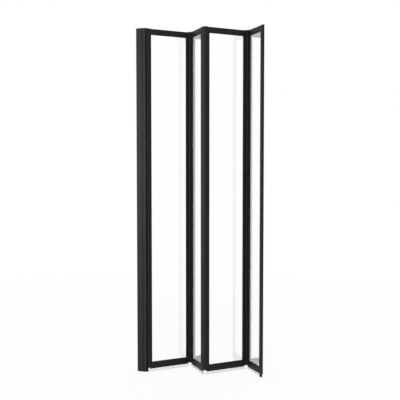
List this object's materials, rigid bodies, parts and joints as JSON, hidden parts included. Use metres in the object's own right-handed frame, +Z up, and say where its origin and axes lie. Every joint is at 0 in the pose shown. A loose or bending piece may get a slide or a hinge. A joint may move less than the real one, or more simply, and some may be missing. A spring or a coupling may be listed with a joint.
{
  "type": "folding bath screen",
  "caption": "Folding bath screen of black-framed clear glass leaves that pleat flat against a wall channel, each fold on a post with paired pivots.",
  "frame": {"origin": "on the wall face, at bath rim level, in the middle of the wall channel's width", "axes": "+X out from the wall along the rim, +Z up, -Y towards the room in front of the screen"},
  "size_m": [0.5053, 0.1899, 1.4],
  "materials": {
    "black_coat": "satin",
    "black_casting": "satin",
    "clear_glass": "gloss",
    "clear_seal": "satin",
    "black_gasket": "matte",
    "rubber": "matte",
    "nylon": "satin",
    "mill_alloy": "satin",
    "steel": "satin"
  },
  "bodies": {
    "wall_side": {"wall_channel": "black_coat", "channel_cap": "nylon", "jamb": "black_coat", "adjusting_screws": "steel", "pivot_block_top": "black_casting", "pivot_block_bottom": "black_casting", "pivot_screws": "steel"},
    "leaf_1": {"leaf_1_left_stile": "black_coat", "leaf_1_right_stile": "black_coat", "leaf_1_top_rail": "black_coat", "leaf_1_bottom_rail": "black_coat", "leaf_1_glass": "clear_glass", "leaf_1_gasket": "black_gasket", "leaf_1_sweep_seal": "clear_seal", "leaf_1_corner_keys": "mill_alloy", "leaf_1_frame_screws": "steel", "leaf_1_bushes": "nylon"},
    "leaf_2": {"leaf_2_left_stile": "black_coat", "leaf_2_right_stile": "black_coat", "leaf_2_top_rail": "black_coat", "leaf_2_bottom_rail": "black_coat", "leaf_2_glass": "clear_glass", "leaf_2_gasket": "black_gasket", "leaf_2_sweep_seal": "clear_seal", "leaf_2_corner_keys": "mill_alloy", "leaf_2_frame_screws": "steel", "leaf_2_bushes": "nylon"},
    "leaf_3": {"leaf_3_left_stile": "black_coat", "leaf_3_right_stile": "black_coat", "leaf_3_top_rail": "black_coat", "leaf_3_bottom_rail": "black_coat", "leaf_3_glass": "clear_glass", "leaf_3_gasket": "black_gasket", "leaf_3_sweep_seal": "clear_seal", "leaf_3_corner_keys": "mill_alloy", "leaf_3_frame_screws": "steel", "leaf_3_bushes": "nylon"},
    "leaf_4": {"leaf_4_left_stile": "black_coat", "leaf_4_right_stile": "black_coat", "leaf_4_top_rail": "black_coat", "leaf_4_bottom_rail": "black_coat", "leaf_4_glass": "clear_glass", "leaf_4_gasket": "black_gasket", "leaf_4_sweep_seal": "clear_seal", "leaf_4_corner_keys": "mill_alloy", "leaf_4_frame_screws": "steel", "leaf_4_bushes": "nylon", "end_plug": "nylon", "foot_insert": "nylon", "foot": "rubber"},
    "hinge_12": {"hinge_12_post": "black_coat", "hinge_12_top_link": "black_casting", "hinge_12_bottom_link": "black_casting"},
    "hinge_23": {"hinge_23_post": "black_coat", "hinge_23_top_link": "black_casting", "hinge_23_bottom_link": "black_casting"},
    "hinge_34": {"hinge_34_post": "black_coat", "hinge_34_top_link": "black_casting", "hinge_34_bottom_link": "black_casting"}
  },
  "joints": [
    {"name": "wall_pivot", "type": "hinge", "parent": "wall_side", "child": "leaf_1", "pos_m": [0.0477, 0, 0], "axis": [0, 0, 1], "range_deg": [-45, 45]},
    {"name": "fold_12_first", "type": "hinge", "parent": "leaf_1", "child": "hinge_12", "pos_m": [0.17321, 0.12551, 0], "axis": [0, 0, -1], "range_deg": [-45, 45]},
    {"name": "fold_12_second", "type": "hinge", "parent": "hinge_12", "child": "leaf_2", "pos_m": [0.18771, 0.12551, 0], "axis": [0, 0, -1], "range_deg": [-45, 45]},
    {"name": "fold_23_first", "type": "hinge", "parent": "leaf_2", "child": "hinge_23", "pos_m": [0.2662, 0.04702, 0], "axis": [0, 0, 1], "range_deg": [-45, 45]},
    {"name": "fold_23_second", "type": "hinge", "parent": "hinge_23", "child": "leaf_3", "pos_m": [0.2807, 0.04702, 0], "axis": [0, 0, 1], "range_deg": [-45, 45]},
    {"name": "fold_34_first", "type": "hinge", "parent": "leaf_3", "child": "hinge_34", "pos_m": [0.40621, 0.17253, 0], "axis": [0, 0, -1], "range_deg": [-45, 45]},
    {"name": "fold_34_second", "type": "hinge", "parent": "hinge_34", "child": "leaf_4", "pos_m": [0.42071, 0.17253, 0], "axis": [0, 0, -1], "range_deg": [-45, 45]}
  ],
  "couplings": [
    {"joint": "fold_12_first", "follows": "fold_23_second", "ratio": 1},
    {"joint": "fold_12_second", "follows": "fold_23_second", "ratio": 1},
    {"joint": "fold_23_first", "follows": "fold_23_second", "ratio": 1},
    {"joint": "fold_34_first", "follows": "fold_34_second", "ratio": 1}
  ]
}
